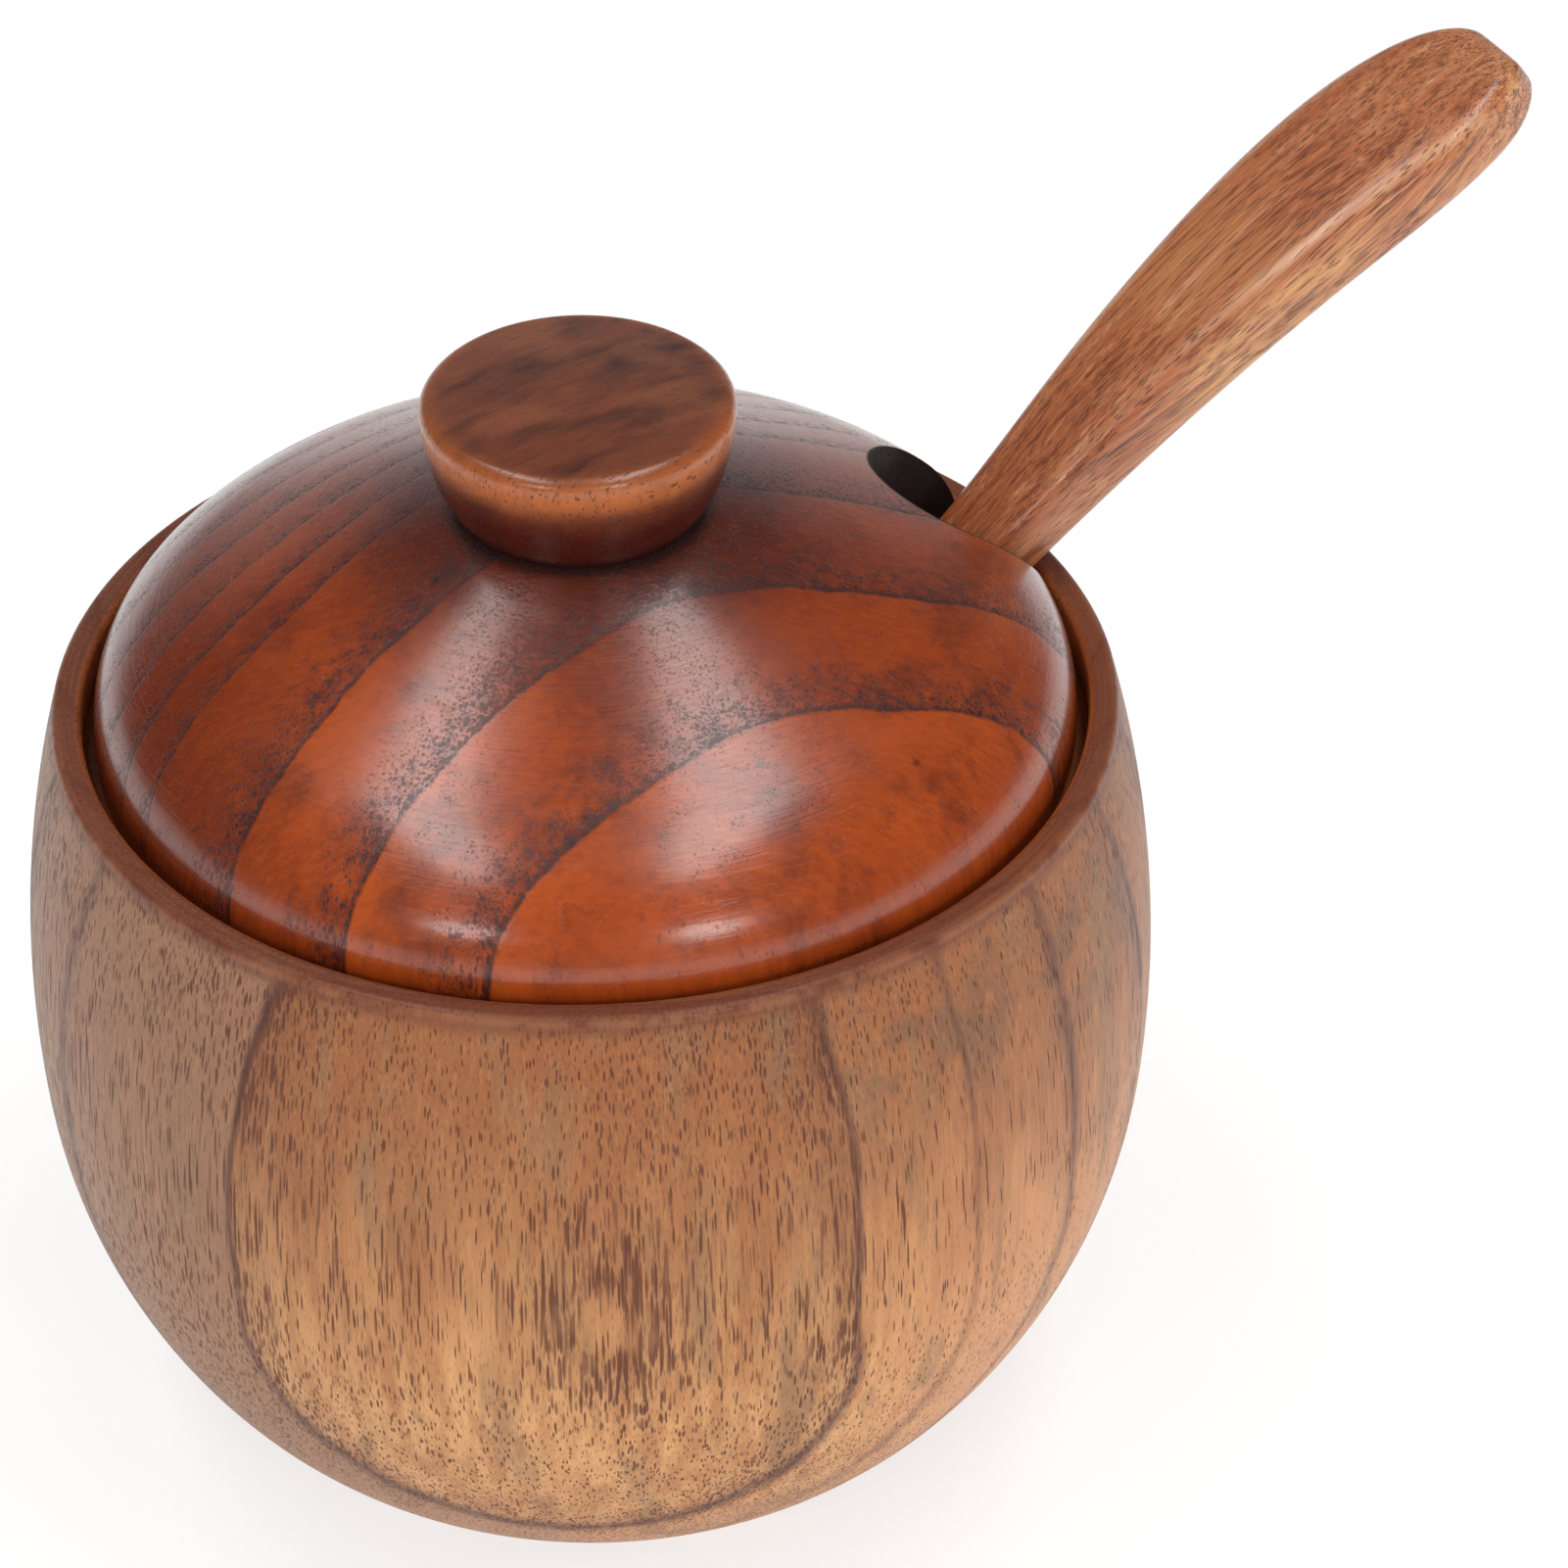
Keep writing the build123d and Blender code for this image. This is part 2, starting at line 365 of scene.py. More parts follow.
@dataclass(frozen=True)
class JarWood:
    """Tan wood with upright grain, long dark pores and a few dark growth rings.

    Lengths are in millimetres in the viewer's axes: X to the right and Y away from the camera.
    """

    pale: Colour = (0.68, 0.345, 0.140)
    tan: Colour = (0.50, 0.215, 0.078)
    red: Colour = (0.29, 0.088, 0.026)
    grey: Colour = (0.30, 0.145, 0.082)
    # Partly wood tone, partly painted light: the lighter orange of the bowl's right side.
    right_tone_and_light: Colour = (0.70, 0.315, 0.140)
    # Painted light: a paler colour for the lowest part of the bowl, standing in for light bounced up
    # from the white floor.
    foot: Colour = (0.68, 0.370, 0.220)
    olive: Colour = (0.25, 0.140, 0.066)
    smoke: Colour = (0.13, 0.075, 0.050)
    pore: Colour = (0.110, 0.032, 0.016)
    ring: Colour = (0.080, 0.024, 0.018)
    lip: Colour = (0.140, 0.032, 0.014)
    # Colour of the painted highlight on the lip's rounded outer edge.
    pale_and_highlight: Colour = (0.42, 0.170, 0.080)
    inside: Colour = (0.38, 0.095, 0.025)
    inside_dark: Colour = (0.20, 0.045, 0.014)
    inside_pore: Colour = (0.05, 0.015, 0.010)
    stir: Grain = Grain((0.03, 0.03, 0.015))
    ripple: Grain = Grain((0.25, 0.25, 0.07), 3.0)
    fibre: Grain = Grain((3.4, 3.4, 0.10), 4.0, 0.65)
    streak: Grain = Grain((0.55, 0.55, 0.03), 4.0, 0.6)
    cloud: Grain = Grain((0.06, 0.06, 0.05), 3.0, 0.55)
    mottle: Grain = Grain((0.20, 0.20, 0.09), 4.0, 0.6)
    short_pores: Grain = Grain((3.2, 3.2, 0.17))
    long_pores: Grain = Grain((2.2, 2.2, 0.075), shift=(3.0, 0.0, 0.0))
    fine_pores: Grain = Grain((5.2, 5.2, 0.62), shift=(0.0, 1.7, 0.0))
    fade: Grain = Grain((0.9, 0.9, 0.22))
    veil: Grain = Grain((0.22, 0.22, 0.045), 4.0, 0.6, (9.0, 0.0, 0.0))
    stain: Grain = Grain((0.10, 0.10, 0.12), 5.0, 0.65, (4.0, 0.0, 0.0))
    lathe: Grain = Grain((4.0, 0.05, 1.0), 3.0)
    lacquer: Lacquer = Lacquer(depth=0.00008, roughness=0.30, shine=0.25)
    coat: float = 0.16
    heart: Point = (2.3, 20.1)
    heart_height: float = 44.0
    bow_below: float = 0.0060
    bow_above: float = 0.0042
    bowed: Span = (4.0, -32.0)
    first_ring: float = 66.5
    second_ring: float = 64.1
    back_rings: float = 58.0
    back_pitch: float = 5.4
    knot: float = 42.4
    left_side: Span = (4.0, -10.0)
    right_side: Span = (26.0, 44.0)
    red_rise: Span = (26.0, 60.0)
    rim_rise: Span = (56.0, 67.0)
    bounce_light_span: Span = (17.0, 3.0)
    wall_centre: Point = (-54.1, 44.3)
    wall_middle: float = 100.7
    bowl_centre: Point = (-2.33, 39.41)
    bowl_middle: float = 48.0
    wall_start: float = 34.6
    floor_middle: float = 3.0
    rim_height: float = 70.2

    def depth_in(self, out: Value, z: Value) -> Value:
        """Mask of the jar's inside, told by the middle of its wall.

        Args:
            out: Distance from the turning axis.
            z: Height.

        Returns:
            1 inside the jar and 0 outside.
        """
        masks = []
        for centre, middle in (
            (self.wall_centre, self.wall_middle),
            (self.bowl_centre, self.bowl_middle),
        ):
            level = z - centre[1]
            reach = ((out - centre[0]) ** 2.0 + level * level).root()
            masks.append((reach - middle).step(0.3, -0.3))
        high = (z - self.wall_start).step(-0.2, 0.2)
        shell = masks[0] * high + masks[1] * (1.0 - high)
        return shell * (z - self.floor_middle).step(-0.5, 0.5)

    def ring_radius(self, spot: tuple, stir: Value, ripple: Value) -> Value:
        """Distance from the tree's heart, bowed so that the rings close in at the front.

        Args:
            spot: The place.
            stir: Slow wander of the rings.
            ripple: Their quick wander.

        Returns:
            The radius.
        """
        x, y, z = spot
        rise = z - self.heart_height
        below = rise.low(0.0)
        above = rise.high(0.0)
        bow = below * below * self.bow_below + above * above * self.bow_above
        across = x - self.heart[0]
        along = y - self.heart[1] - bow * y.step(*self.bowed)
        return (across * across + along * along).root() + stir * 0.5 + ripple * 0.22

    def flecks(self, s: Shader, spot: tuple, dense: Value, fade: Value) -> Value:
        """Dark pores of three lengths.

        Args:
            s: The tree.
            spot: The place.
            dense: Size of the pores, in cells.
            fade: How strong they are.

        Returns:
            1 in a pore and 0 beside it.
        """
        x, y, z = spot
        bend = x + (z - self.heart_height) * x * 0.0016
        short = (s.cells(self.short_pores, (bend, y, z)) - dense).step(0.08, -0.05)
        long = (s.cells(self.long_pores, (bend, y, z)) - dense * 0.90).step(0.07, -0.04)
        fine = (s.cells(self.fine_pores, spot) - dense * 0.95).step(0.08, -0.05)
        return short.high(long).high(fine * 0.5) * fade

    def build(self) -> bpy.types.Material:
        """Builds the material.

        Returns:
            The jar's wood.
        """
        s = Shader(bpy.data.materials.new("jar_wood_finish"))
        x, y, z = spot = s.place((0.0, 0.0, VIEW_TURN))
        stir = s.noise(self.stir, spot) - 0.5
        ripple = s.noise(self.ripple, spot) - 0.5
        fibre = s.noise(self.fibre, spot)
        strand = fibre - 0.5
        cloud = s.noise(self.cloud, spot) - 0.5
        mottle = s.noise(self.mottle, spot)
        radius = self.ring_radius(spot, stir, ripple)
        edge = radius - self.first_ring
        slant = 0.11 + z.step(38.0, 14.0) * 0.30 + z.step(60.0, 71.0) * 0.10
        left = (x + stir * 12.0).step(*self.left_side) * edge.step(0.06, -0.06)
        right = (x + stir * 20.0 + mottle * 16.0).step(*self.right_side)
        outer = ((radius - self.back_rings) / self.back_pitch).fraction()
        beyond = radius.step(61.5, 60.5)
        knot = ((x * 0.30) ** 2.0 + ((z - self.knot) * 0.20) ** 2.0).root() + ripple * 0.8 + stir
        rings = (edge / slant).bell(0.0, 1.0)
        rings = rings.high(knot.bell(1.0, 0.16) * 0.22)
        second = ((radius - self.second_ring) / slant).bell(0.0, 1.4)
        rings = rings.high(second * 0.50 * x.step(0.0, 12.0))
        rings = rings.high(outer.bell(0.5, 0.085) * beyond * 0.75)
        halo = edge.step(1.1, 0.05) * edge.step(-0.03, 0.03)
        core = knot.step(3.2, 1.0) * knot.step(0.3, 0.9)
        band = outer.step(0.95, 0.52) * outer.step(0.47, 0.52) * beyond
        dense = 0.240 + halo * 0.13 + core * 0.17 + band * 0.10 + cloud * 0.18
        dense = dense + (mottle - 0.5) * 0.16 - right * 0.07 + left * 0.02
        fade = s.noise(self.fade, spot).step(0.28, 0.60) * 0.50 + 0.50
        flecks = self.flecks(s, spot, dense, fade)
        streak = s.noise(self.streak, spot) - 0.5
        veil = s.noise(self.veil, spot) - 0.5
        stain = (s.noise(self.stain, spot) - 0.5).step(-0.03, 0.10)
        stain = stain * z.step(48.0, 62.0) * x.step(8.0, 24.0)
        out = (x * x + y * y).root()
        lathe = s.noise(self.lathe, (out, x, y * 0.05 + z * 4.0))
        rim = (z - self.rim_height).step(-1.5, 0.3) * out.step(42.0, 43.2)
        # Painted highlight: a pale band, in patches, along the lip's rounded outer edge where the
        # top lights catch it.
        pale_and_highlight = (z - self.rim_height).bell(0.25, 0.75) * out.step(44.2, 45.0)
        pale_and_highlight = pale_and_highlight * (mottle - 0.42).step(-0.05, 0.12)
        inner = s.blend(
            self.inside,
            ((lathe - 0.5) * 1.6 + 0.35, self.inside_dark),
            (flecks * 0.55, self.inside_pore),
        )
        within = self.depth_in(out, z)
        base = s.blend(
            self.pale,
            (streak * 4.4 + 0.45 + cloud * 1.8, self.tan),
            # Partly wood tone, partly painted light: the right side is blended lighter, as if lit
            # more from the right.
            (right * 0.75, self.right_tone_and_light),
            ((z + mottle * 30.0 - 15.0).step(*self.red_rise) * 0.80, self.red),
            ((z + mottle * 16.0 - 8.0).step(*self.rim_rise) * 0.62, self.red),
            (left * 0.85, self.grey),
            # Painted light: the bowl is blended paler towards its foot, as if lit from below by the
            # floor.
            (z.step(*self.bounce_light_span) * 0.75, self.foot),
            (veil.step(0.0, 0.18) * 0.62, self.olive),
            (stain * (0.30 + fibre * 0.45), self.smoke),
            (strand.step(-0.10, 0.30) * 0.34, self.olive),
            (strand.step(0.05, -0.28) * 0.25, self.pale),
            (rings * (0.50 + ripple + fade * 0.30 + strand * 0.8), self.ring),
            (halo * 0.22 + band * 0.20 + core * 0.12, self.ring),
            (flecks * 0.90, self.pore),
            (rim * (0.45 + lathe * 0.75), self.lip),
            (pale_and_highlight * 0.40, self.pale_and_highlight),
            (within, inner),
        )
        rough = 0.44 + flecks * 0.25 + strand * 0.20 - within * 0.08
        relief = (1.0 - flecks) * 0.55 + fibre * 0.25 + lathe * 0.10
        return s.wood(base, rough, relief, self.coat, self.lacquer)


@dataclass(frozen=True)
class LidWood:
    """Red-brown wood under gloss lacquer, with bold curved growth rings.

    Lengths are in millimetres in the viewer's axes.
    """

    clear: Colour = (0.43, 0.072, 0.009)
    warm: Colour = (0.23, 0.030, 0.005)
    dusk: Colour = (0.110, 0.013, 0.003)
    deep: Colour = (0.062, 0.010, 0.007)
    ring: Colour = (0.034, 0.009, 0.010)
    speck: Colour = (0.040, 0.011, 0.012)
    # Colour of dark spots, and of the painted shade in the crease round the knob.
    dark_spots_and_crease_shade: Colour = (0.018, 0.008, 0.008)
    # Near black for the notch wall: dark end grain deepened with painted shade.
    bored: Colour = (0.016, 0.006, 0.004)
    stir: Grain = Grain((0.035, 0.035, 0.01))
    ripple: Grain = Grain((0.30, 0.30, 0.06), 4.0, 0.65)
    cloud: Grain = Grain((0.05, 0.05, 0.04), 3.0, 0.55)
    haze: Grain = Grain((0.11, 0.11, 0.05), 5.0, 0.65, (5.0, 0.0, 0.0))
    fibre: Grain = Grain((0.9, 2.4, 0.3), 5.0, 0.65)
    grain: Grain = Grain((0.55, 0.55, 0.2), 5.0, 0.7)
    specks: Grain = Grain((2.1, 2.1, 0.6))
    dust: Grain = Grain((4.6, 4.6, 1.5), shift=(2.0, 0.0, 0.0))
    spots: Grain = Grain((0.17, 0.17, 0.1), shift=(3.1, 0.0, 0.0))
    lathe: Grain = Grain((4.5, 0.10, 0.10), 4.0, 0.7)
    scratch: Grain = Grain((9.0, 0.22, 0.22), shift=(0.0, 3.0, 0.0))
    lacquer: Lacquer = Lacquer(depth=0.00011, roughness=0.17, shine=0.50)
    heart: Point = (51.0, -94.0)
    first_ring: float = 79.6
    ring_pitch: float = 12.0
    ring_start: float = 76.0
    crowded: float = 114.0
    notch: Point = (33.56, 16.51)
    notch_radius: float = 8.75
    knob_foot: float = 10.4
    knob_height: float = 89.0
    under_height: float = 69.5
    knob_shade: Span = (27.0, 12.0)
    left_side: Span = (-14.0, -31.0)

    def build(self) -> bpy.types.Material:
        """Builds the material.

        Returns:
            The lid's wood.
        """
        s = Shader(bpy.data.materials.new("lid_wood_finish"))
        x, y, z = spot = s.place((0.0, 0.0, VIEW_TURN))
        stir = s.noise(self.stir, spot) - 0.5
        ripple = s.noise(self.ripple, spot) - 0.5
        across = x - self.heart[0]
        along = y - self.heart[1]
        radius = (across * across + along * along).root() + stir * 3.0 + ripple * 0.7
        count = (radius - self.first_ring) / self.ring_pitch
        part = (count + (radius - self.crowded).high(0.0) * 0.14).fraction()
        ringed = (radius - self.ring_start).step(-2.0, 1.0)
        line = part.step(0.060, 0.0).high(part.step(0.975, 1.0)) * ringed
        band = part.step(0.62, 0.02) * ringed
        glow = part.step(0.45, 0.95) * ringed
        cloud = s.noise(self.cloud, spot) - 0.5
        haze = s.noise(self.haze, spot)
        blur = haze - 0.5
        fibre = s.noise(self.fibre, (across, along, z))
        strand = fibre - 0.5
        grain = s.noise(self.grain, spot) - 0.5
        out = (x * x + y * y).root()
        # Painted shade: the back of the dome is blended warmer and deeper, darker away from the
        # camera.
        back = (y + x * 0.30 + 6.0).step(-16.0, 22.0)
        # Painted shade: the dome darkens towards the knob, with a cloudy edge.
        knob_shade_mask = (out + blur * 14.0).step(*self.knob_shade)
        side = (x + haze * 12.0).step(*self.left_side)
        dense = 0.11 + band * 0.22 + grain * 0.70 + line * 0.14 + knob_shade_mask * 0.10
        dots = (s.cells(self.specks, spot) - dense).step(0.08, -0.04)
        dots = dots.high((s.cells(self.dust, spot) - dense * 1.1).step(0.10, -0.05) * 0.75)
        blot = (s.cells(self.spots, spot) - 0.060 - grain * 0.30).step(0.045, -0.03)
        lathe = s.noise(self.lathe, (out, x, y))
        scratch = s.noise(self.scratch, (out, x, y)).step(0.62, 0.74)
        off_x = x - self.notch[0]
        off_y = y - self.notch[1]
        # Partly dark end grain, partly painted shade: the bored notch's wall is made near black and
        # dull.
        bored = ((off_x * off_x + off_y * off_y).root() - self.notch_radius).step(0.30, 0.05)
        # Partly a dark glue line, partly painted shade: a dark band on the lid round the knob's
        # foot.
        crease = (out - self.knob_foot).step(1.6, 0.1) * (z - self.knob_height).step(-1.0, 0.5)
        # Painted shade: the lid's edge below the rim and its underside are blended darker, as if
        # shaded by the jar's rim.
        under = (z - self.under_height).step(0.6, -0.6)
        base = s.blend(
            self.clear,
            (cloud * 1.6 + 0.38 + back * 0.45 - glow * 0.25, self.warm),
            (side * 0.80, self.dusk),
            (blur.step(-0.04, 0.20) * 0.68, self.dusk),
            (grain.step(0.02, 0.24) * 0.42, self.dusk),
            # Painted shade: deeper colour near the knob and over the back of the dome.
            (knob_shade_mask * 0.72 + back * 0.25, self.deep),
            (band * (0.42 - side * 0.16 + grain * 2.4), self.deep),
            (dots * (0.28 + band * 0.55), self.speck),
            (line * (0.58 + ripple * 2.2), self.ring),
            (blot * 0.85, self.dark_spots_and_crease_shade),
            (strand.step(-0.15, 0.30) * 0.30, self.deep),
            (strand.step(0.05, -0.30) * 0.20, self.clear),
            (bored, self.bored),
            (crease * 0.85, self.dark_spots_and_crease_shade),
            (under * 0.5, self.warm),
        )
        rough = 0.225 + (lathe - 0.5) * 0.22 + dots * 0.14 + bored * 0.5 + blur * 0.20
        relief = (1.0 - dots * 0.6) * 0.36 + lathe * 0.34 + (1.0 - line) * 0.10
        relief = relief + (1.0 - scratch) * 0.10 + fibre * 0.10
        coat = 0.68 - bored * 0.60 - dots * 0.30 + blur * 0.6
        return s.wood(base, rough, relief, coat, self.lacquer)


@dataclass(frozen=True)
class KnobWood:
    """Knob wood with streaks across the top, a pale edge band that is partly wood colour and partly
    painted highlight, and a dark neck that is partly painted shade.

    Lengths are in millimetres, with X along the grain.
    """

    top: Colour = (0.165, 0.040, 0.016)
    pale: Colour = (0.25, 0.075, 0.030)
    streak: Colour = (0.048, 0.012, 0.008)
    line: Colour = (0.075, 0.020, 0.012)
    edge: Colour = (0.50, 0.135, 0.030)
    neck: Colour = (0.058, 0.004, 0.002)
    dark_spots_and_crease_shade: Colour = (0.030, 0.007, 0.005)
    sway: Grain = Grain((0.06, 0.06, 0.06))
    long: Grain = Grain((0.07, 0.34, 0.2), 4.0, 0.6)
    broad: Grain = Grain((0.09, 0.16, 0.1), 3.0, 0.5, (4.0, 0.0, 0.0))
    fibre: Grain = Grain((0.45, 3.6, 1.0), 5.0, 0.65)
    mist: Grain = Grain((0.7, 0.7, 0.7), 5.0, 0.7)
    flecks: Grain = Grain((0.55, 2.7, 1.2))
    grit: Grain = Grain((3.1, 3.1, 0.7))
    lacquer: Lacquer = Lacquer(depth=0.00009, roughness=0.21, shine=0.40)
    coat: float = 0.50
    lean: float = math.radians(34.0)
    seat: float = 90.475
    neck_height: float = 96.2
    edge_height: float = 98.8

    def build(self) -> bpy.types.Material:
        """Builds the material.

        Returns:
            The knob's wood.
        """
        s = Shader(bpy.data.materials.new("knob_wood_finish"))
        x, y, z = spot = s.place((0.0, 0.0, VIEW_TURN - self.lean))
        out = (x * x + y * y).root()
        sway = s.noise(self.sway, spot) - 0.5
        long = s.noise(self.long, (x, y + sway * 5.0, z))
        broad = s.noise(self.broad, spot) - 0.5
        fibre = s.noise(self.fibre, spot)
        strand = fibre - 0.5
        mist = s.noise(self.mist, spot)
        blur = mist - 0.5
        ticks = (s.cells(self.flecks, spot) - 0.17).step(0.08, -0.04)
        ticks = ticks.high((s.cells(self.grit, spot) - 0.15).step(0.08, -0.03) * 0.8)
        # Partly wood colour, partly painted highlight: a pale orange band round the knob's rounded
        # top edge.
        edge = (z - self.edge_height).bell(0.0, 2.7) * out.step(11.0, 12.7)
        # Partly wood colour, partly painted shade: the neck under the knob's overhanging edge is
        # made near black.
        neck = (z - self.neck_height + blur * 2.0).step(1.8, -2.2)
        # Partly a dark glue line, partly painted shade: the knob darkens in the crease at its foot.
        crease = (z - self.seat).step(1.1, 0.2)
        base = s.blend(
            self.top,
            ((long - 0.50) * 4.2 + 0.22 + blur * 0.5, self.streak),
            (broad.step(0.02, -0.16) * 0.55, self.pale),
            (edge * (0.95 + blur * 0.9), self.edge),
            (neck * 0.94, self.neck),
            (ticks * (0.40 + edge * 0.35), self.dark_spots_and_crease_shade),
            (strand.step(-0.10, 0.28) * 0.35, self.line),
            (crease * 0.85, self.dark_spots_and_crease_shade),
        )
        rough = 0.29 + ticks * 0.18 + strand * 0.25
        relief = (1.0 - ticks * 0.7) * 0.5 + fibre * 0.30 + mist * 0.20
        return s.wood(base, rough, relief, self.coat, self.lacquer)


@dataclass(frozen=True)
class SpoonWood:
    """Reddish tan wood with grain along the handle, dark streaks and fine pores.

    Lengths are in millimetres, with X along the handle and Z square to its top.
    """

    slope: float = SPOON_SLOPE
    pale: Colour = (0.70, 0.330, 0.145)
    tan: Colour = (0.53, 0.185, 0.068)
    red: Colour = (0.36, 0.082, 0.025)
    deep: Colour = (0.13, 0.028, 0.009)
    gold: Colour = (0.72, 0.380, 0.140)
    pore: Colour = (0.085, 0.025, 0.014)
    # Pale grain streaks, and the painted highlight along the arris.
    pale_and_highlight: Colour = (0.76, 0.45, 0.25)
    sway: Grain = Grain((0.018, 0.05, 0.05))
    dip: Grain = Grain((0.05, 0.09, 0.09), shift=(6.0, 0.0, 0.0))
    bands: Grain = Grain((0.010, 0.50, 0.50), 4.0, 0.6)
    lines: Grain = Grain((0.028, 1.7, 1.7), 4.0, 0.65)
    fibre: Grain = Grain((0.09, 5.5, 5.5), 4.0, 0.65)
    patches: Grain = Grain((0.05, 0.14, 0.14), 4.0, 0.6)
    short_pores: Grain = Grain((0.24, 4.4, 4.4))
    long_pores: Grain = Grain((0.09, 3.0, 3.0), shift=(2.0, 0.0, 0.0))
    lacquer: Lacquer = Lacquer(depth=0.00011, roughness=0.22, shine=0.40)
    coat: float = 0.60
    exit_along: float = 75.18
    exit_over: float = 36.81
    arch_along: float = 28.0
    arch_rise: float = 3.0
    arch_fall: float = 0.0035
    half_width: float = 4.2
    swell: float = 0.092
    widest: float = 44.0

    def build(self) -> bpy.types.Material:
        """Builds the material.

        Returns:
            The spoon's wood.
        """
        s = Shader(bpy.data.materials.new("spoon_wood_finish"))
        x, y, z = spot = s.place((0.0, self.slope, 0.0))
        run = x - self.exit_along
        past = run - self.arch_along
        over = z - self.exit_over - self.arch_rise + past * past * self.arch_fall
        sway = s.noise(self.sway, spot) - 0.5
        dip = s.noise(self.dip, spot) - 0.5
        grain = (x, y + sway * 6.0 + dip * 1.6, z + sway * 4.0 + dip * 1.0)
        bands = s.noise(self.bands, grain) - 0.5
        lines = s.noise(self.lines, grain)
        streak = lines - 0.5
        fibre = s.noise(self.fibre, grain)
        strand = fibre - 0.5
        patches = s.noise(self.patches, spot) - 0.5
        dense = 0.19 + patches * 0.40 + run.step(30.0, 52.0) * 0.06
        flecks = (s.cells(self.short_pores, grain) - dense).step(0.08, -0.05)
        flecks = flecks.high((s.cells(self.long_pores, grain) - dense * 0.8).step(0.06, -0.03))
        half = run.low(self.widest) * self.swell + self.half_width
        # Painted highlight: a pale line along the arris between the handle's top and its side.
        arris_highlight = (y.size() - half + 1.1).bell(0.0, 0.8) * (over - 2.0).step(-1.6, 0.4)
        arris_highlight = arris_highlight * run.step(2.0, 12.0)
        base = s.blend(
            self.pale,
            (bands * 5.0 + 0.45, self.tan),
            ((dip + bands).step(0.02, 0.16) * run.step(46.0, 30.0) * 0.7, self.gold),
            ((over - 2.4).step(-1.2, 0.8) * 0.55, self.red),
            (patches.step(0.0, 0.22) * 0.55, self.red),
            ((run - 4.0).step(20.0, -8.0) * 0.60, self.red),
            (streak.step(-0.01, 0.15) * 0.66, self.deep),
            (streak.step(-0.05, -0.20) * 0.40, self.pale_and_highlight),
            (strand.step(-0.06, 0.18) * 0.52, self.deep),
            (y.step(1.0, 6.5) * 0.38, self.red),
            (arris_highlight * (0.30 + strand * 1.6 + bands * 1.6), self.pale_and_highlight),
            (flecks * 0.68, self.pore),
        )
        rough = 0.34 + flecks * 0.22 + strand * 0.30
        relief = (1.0 - flecks * 0.8) * 0.5 + fibre * 0.32 + lines * 0.18
        return s.wood(base, rough, relief, self.coat, self.lacquer)


@dataclass
class Outline:
    """Outline in the XZ plane of a turned piece, in millimetres."""

    points: list[Point] = field(default_factory=list)

    def line(self, *ends: Point, steps: int = 1) -> "Outline":
        """Straight runs to each end.

        Args:
            ends: Points to reach in turn.
            steps: Parts that each run is cut into.

        Returns:
            The outline itself.
        """
        for end in ends:
            if not self.points:
                self.points.append(end)
                continue
            start = self.points[-1]
            for step in range(1, steps + 1):
                share = step / steps
                self.points.append(
                    (start[0] + (end[0] - start[0]) * share, start[1] + (end[1] - start[1]) * share)
                )
        return self

    def arc(self, centre: Point, radius: float, start: float, end: float, steps: int) -> "Outline":
        """Part of a circle.

        Args:
            centre: Its centre.
            radius: Its radius.
            start: First angle in degrees.
            end: Last angle in degrees.
            steps: Parts that it is cut into.

        Returns:
            The outline itself.
        """
        for step in range(steps + 1):
            angle = math.radians(start + (end - start) * step / steps)
            point = (centre[0] + radius * math.cos(angle), centre[1] + radius * math.sin(angle))
            if not self.points or math.dist(point, self.points[-1]) > 0.01:
                self.points.append(point)
        return self


def deselect() -> None:
    """Clears the selection."""
    bpy.ops.object.select_all(action="DESELECT")


def choose(piece: bpy.types.Object) -> None:
    """Selects one object alone and makes it active.

    Args:
        piece: The object.
    """
    deselect()
    piece.select_set(True)
    bpy.context.view_layer.objects.active = piece


def weld() -> None:
    """Joins points of the edited mesh that fall together, turns its faces out and leaves it."""
    bpy.ops.mesh.select_all(action="SELECT")
    bpy.ops.mesh.remove_doubles(threshold=WELD)
    bpy.ops.mesh.normals_make_consistent(inside=False)
    bpy.ops.object.mode_set(mode="OBJECT")


def combine(piece: bpy.types.Object, other: bpy.types.Object, operation: str) -> None:
    """Adds a solid to a piece or cuts it out.

    Args:
        piece: The piece so far.
        other: The other solid, used up.
        operation: The Boolean modifier's operation.
    """
    choose(piece)
    cut = piece.modifiers.new("cut", "BOOLEAN")
    cut.operation = operation
    cut.solver = "EXACT"
    cut.object = other
    bpy.ops.object.modifier_apply(modifier=cut.name)
    bpy.data.objects.remove(other)


def next_centre(centre: Point, radius: float, new_radius: float, degrees: float) -> Point:
    """Centre of the arc that carries on from another without a corner."""
    angle = math.radians(degrees)
    reach = radius - new_radius
    return (centre[0] + reach * math.cos(angle), centre[1] + reach * math.sin(angle))


def angle_at(centre: Point, radius: float, height: float) -> float:
    """Angle in degrees at which a circle reaches a height."""
    return math.degrees(math.asin((height - centre[1]) / radius))


@dataclass
class Piece:
    """A piece of the jar: its names, the body and node it stands for, and its finish."""

    name: str
    node: str
    body: str
    slot: str
    finish: JarWood | LidWood | KnobWood | SpoonWood
    smooth: float = 32.0

    def make(self) -> bpy.types.Object:
        """Models the piece in its place."""
        raise NotImplementedError

    def build(self) -> bpy.types.Object:
        """Makes the piece, gives it its finish and puts it on its body.

        Returns:
            The finished object.
        """
        piece = self.make()
        piece.name = self.name
        piece.data.name = self.name
        choose(piece)
        bpy.ops.object.shade_smooth_by_angle(angle=math.radians(self.smooth))
        piece.data.materials.clear()
        piece.data.materials.append(self.finish.build())
        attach(piece, self.body)
        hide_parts(self.node)
        LOG.info("%s: %d faces", self.name, len(piece.data.polygons))
        return piece


